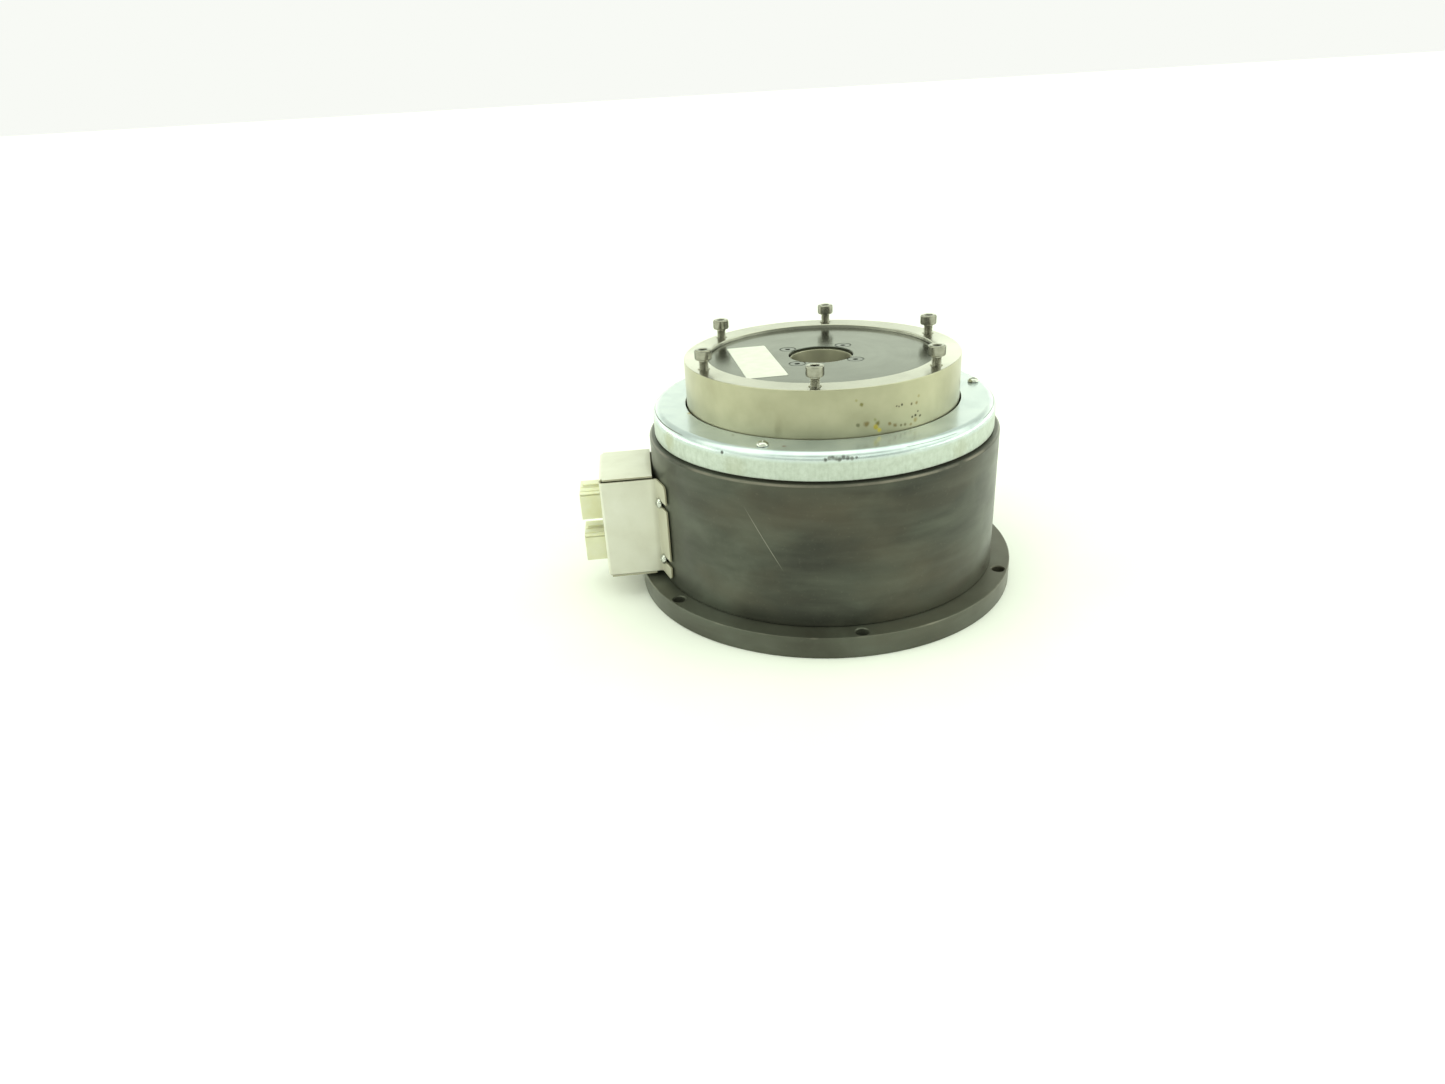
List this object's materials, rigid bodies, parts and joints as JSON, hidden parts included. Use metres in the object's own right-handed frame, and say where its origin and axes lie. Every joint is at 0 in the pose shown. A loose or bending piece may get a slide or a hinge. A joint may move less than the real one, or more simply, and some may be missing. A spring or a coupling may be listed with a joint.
{
  "type": "hollow direct-drive rotary motor",
  "caption": "Round hollow rotary drive unit: blackened drum housing on a bolt flange, turning steel output ring with cap screws, zinc dust cover, fixed top disc and side connector box.",
  "frame": {"origin": "on the spin axis, at the underside of the base flange", "axes": "+Z along the spin axis towards the output ring; -X towards the connector box"},
  "size_m": [0.24, 0.2096, 0.136],
  "materials": {
    "blackened_steel": "turned steel with a mottled black-oxide finish",
    "brushed_stainless": "fine turned stainless steel",
    "zinc_plate": "pressed sheet with clear blue zinc plating",
    "black_oxide_disc": "ground steel with a satin black-oxide finish",
    "painted_sheet": "bent sheet in warm grey-white paint",
    "natural_nylon": "moulded natural nylon, yellowed",
    "screw_steel": "stainless screws",
    "black_screw_steel": "black-oxide screws and nuts",
    "core_iron": "electrical sheet stack",
    "enamelled_copper": null,
    "bearing_steel": "ground bearing steel",
    "black_rubber": "moulded rubber",
    "lead_insulation": "plastic-covered lead"
  },
  "bodies": {
    "frame": {"base_flange": "blackened_steel", "bearing_inner_ring": "bearing_steel", "bore_sleeve": "brushed_stainless", "box_screw_1": "screw_steel", "box_screw_2": "screw_steel", "box_screw_3": "screw_steel", "box_screw_4": "screw_steel", "centre_post": "blackened_steel", "connector_box": "painted_sheet", "dust_cover": "zinc_plate", "dust_cover_screw_1": "screw_steel", "dust_cover_screw_2": "screw_steel", "dust_cover_screw_3": "screw_steel", "inner_lock_nut": "black_screw_steel", "inner_stator_core": "core_iron", "inner_stator_spacer": "bearing_steel", "inner_stator_winding": "enamelled_copper", "lead_grommet": "black_rubber", "outer_shell": "blackened_steel", "outer_stator_core": "core_iron", "outer_stator_spacer": "bearing_steel", "outer_stator_winding": "enamelled_copper", "post_screw_1": "black_screw_steel", "post_screw_2": "black_screw_steel", "post_screw_3": "black_screw_steel", "post_screw_4": "black_screw_steel", "power_connector": "natural_nylon", "power_lead": "lead_insulation", "resolver_stator": "core_iron", "shell_screw_1": "black_screw_steel", "shell_screw_2": "black_screw_steel", "shell_screw_3": "black_screw_steel", "shell_screw_4": "black_screw_steel", "signal_connector": "natural_nylon", "signal_lead": "lead_insulation", "top_disc": "black_oxide_disc", "top_disc_screw_1": "black_screw_steel", "top_disc_screw_2": "black_screw_steel", "top_disc_screw_3": "black_screw_steel", "top_disc_screw_4": "black_screw_steel"},
    "rotor": {"bearing_outer_ring": "bearing_steel", "outer_lock_nut": "black_screw_steel", "resolver_rotor": "core_iron", "rotor_core": "core_iron", "rotor_end_ring": "bearing_steel", "rotor_ring": "brushed_stainless", "rotor_ring_screw_1": "screw_steel", "rotor_ring_screw_2": "screw_steel", "rotor_ring_screw_3": "screw_steel", "rotor_ring_screw_4": "screw_steel", "rotor_ring_screw_5": "screw_steel", "rotor_ring_screw_6": "screw_steel", "rotor_tie_bolt_1": "black_screw_steel", "rotor_tie_bolt_2": "black_screw_steel", "rotor_tie_bolt_3": "black_screw_steel"},
    "roller_train": {"bearing_roller_train": "bearing_steel"}
  },
  "joints": [
    {"name": "rotor_spin", "type": "hinge", "parent": "frame", "child": "rotor", "pos_m": [0, 0, 0.108], "axis": [0, 0, 1], "continuous": true},
    {"name": "roller_train_spin", "type": "hinge", "parent": "frame", "child": "roller_train", "pos_m": [0, 0, 0.108], "axis": [0, 0, 1], "continuous": true}
  ],
  "couplings": [
    {"joint": "roller_train_spin", "follows": "rotor_spin", "ratio": 0.5253}
  ]
}
